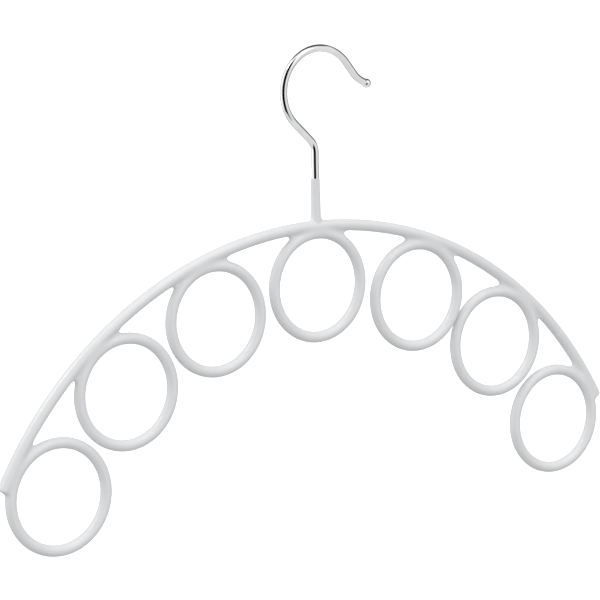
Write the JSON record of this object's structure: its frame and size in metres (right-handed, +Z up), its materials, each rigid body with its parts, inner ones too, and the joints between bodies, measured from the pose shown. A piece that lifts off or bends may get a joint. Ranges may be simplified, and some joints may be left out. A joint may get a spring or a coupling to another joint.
{
  "type": "scarf hanger",
  "caption": "White vinyl-coated steel wire hanger with a row of scarf rings welded under a long curved bow, and a fixed bare chrome hook that hangs on a wardrobe rail.",
  "frame": {"origin": "underside of the hook's crown, on the line that bears on the wardrobe rail", "axes": "+X along the bow towards the side that the hook's tip points to, +Y towards the back and along the rail, +Z up"},
  "size_m": [0.4161, 0.0068, 0.2666],
  "materials": {
    "white_vinyl": "soft-gloss dipped white vinyl with a slightly uneven film",
    "chrome_wire": "bright chrome plate on drawn steel wire",
    "steel_core": "plain drawn steel wire, sealed inside the vinyl"
  },
  "bodies": {
    "root": {"hook": "chrome_wire", "stem_coat": "white_vinyl", "bow_wire": "steel_core", "bow_coat": "white_vinyl", "ring_wire_1": "steel_core", "ring_wire_2": "steel_core", "ring_wire_3": "steel_core", "ring_wire_4": "steel_core", "ring_wire_5": "steel_core", "ring_wire_6": "steel_core", "ring_wire_7": "steel_core", "ring_coat_1": "white_vinyl", "ring_coat_2": "white_vinyl", "ring_coat_3": "white_vinyl", "ring_coat_4": "white_vinyl", "ring_coat_5": "white_vinyl", "ring_coat_6": "white_vinyl", "ring_coat_7": "white_vinyl"}
  },
  "joints": []
}
